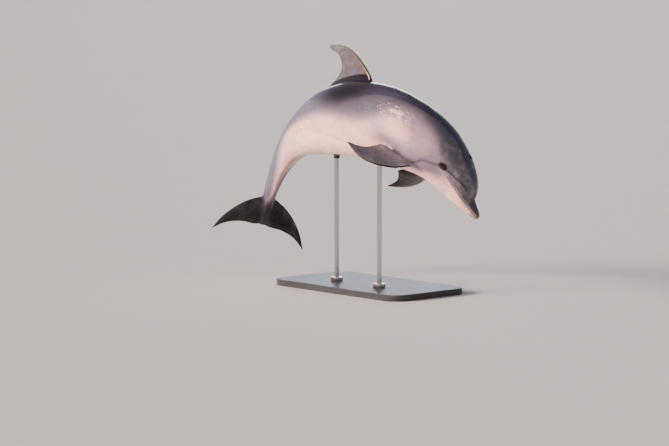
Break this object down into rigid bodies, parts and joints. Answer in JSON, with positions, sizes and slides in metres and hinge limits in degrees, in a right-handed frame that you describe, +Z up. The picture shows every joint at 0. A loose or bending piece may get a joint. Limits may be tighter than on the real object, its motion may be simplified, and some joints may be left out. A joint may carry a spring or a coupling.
{
  "type": "bottlenose dolphin model",
  "caption": "Life-size still model of a bottlenose dolphin arched in mid leap, held over a flat base by upright rods.",
  "frame": {"origin": "centre of the stand base's underside, on the floor", "axes": "+Z up; +X the way the trunk points, from tail to head; +Y the animal's left"},
  "size_m": [1.8722, 0.7561, 1.4381],
  "materials": {
    "skin": "smooth wet skin: dark slate cape, grey flanks, pinkish cream belly",
    "eye": "polished, dark brown",
    "base_paint": "painted board, satin dark grey",
    "rod_steel": "brushed"
  },
  "bodies": {
    "root": {"upper_jaw": "skin", "lower_jaw": "skin", "head": "skin", "chest": "skin", "belly": "skin", "loin": "skin", "tail_stock_front": "skin", "tail_stock_rear": "skin", "tail_root": "skin", "dorsal_fin": "skin", "flipper_left": "skin", "flipper_right": "skin", "fluke_left": "skin", "fluke_right": "skin", "eye_left": "eye", "eye_right": "eye", "stand_base": "base_paint", "stand_rod_front": "rod_steel", "stand_rod_rear": "rod_steel", "stand_collar_front": "rod_steel", "stand_collar_rear": "rod_steel"}
  },
  "joints": []
}
